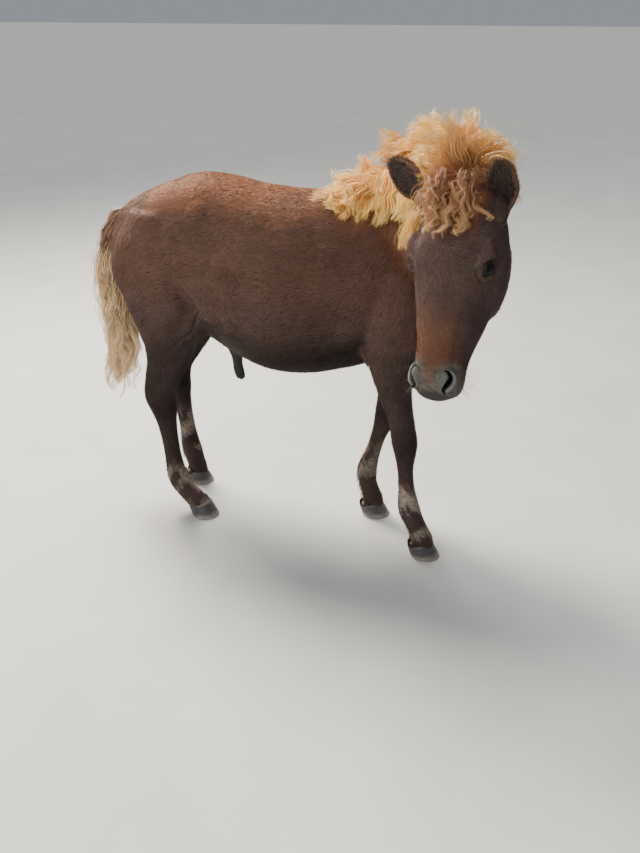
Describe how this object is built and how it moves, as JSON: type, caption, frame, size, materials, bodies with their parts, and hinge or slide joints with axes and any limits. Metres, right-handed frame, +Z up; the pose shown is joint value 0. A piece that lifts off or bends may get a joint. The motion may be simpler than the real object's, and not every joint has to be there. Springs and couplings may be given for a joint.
{
  "type": "standing pony figure",
  "caption": "Life-size standing Shetland pony colt, head turned back to its right, curly mane and forelock, long tail.",
  "frame": {"origin": "on the floor, under the middle of the whole animal's box", "axes": "+X the way the trunk faces, +Y the pony's left, +Z up"},
  "size_m": [1.1172, 0.5882, 1.1151],
  "materials": {
    "coat": "short chestnut coat with flaxen mane and forelock",
    "flaxen_hair": "long wavy flaxen hair",
    "dark_skin": "bare slate skin, satin",
    "hoof_horn": "dry slate horn, pale where worn",
    "eye": "wet and very dark"
  },
  "bodies": {
    "root": {"torso": "coat", "neck": "coat", "head": "coat", "ear_left": "coat", "ear_right": "coat", "eye_left": "eye", "eye_right": "eye", "tail": "flaxen_hair", "sheath": "dark_skin", "foreleg_left": "coat", "foreleg_right": "coat", "hindleg_left": "coat", "hindleg_right": "coat", "hoof_fore_left": "hoof_horn", "hoof_fore_right": "hoof_horn", "hoof_hind_left": "hoof_horn", "hoof_hind_right": "hoof_horn"}
  },
  "joints": []
}
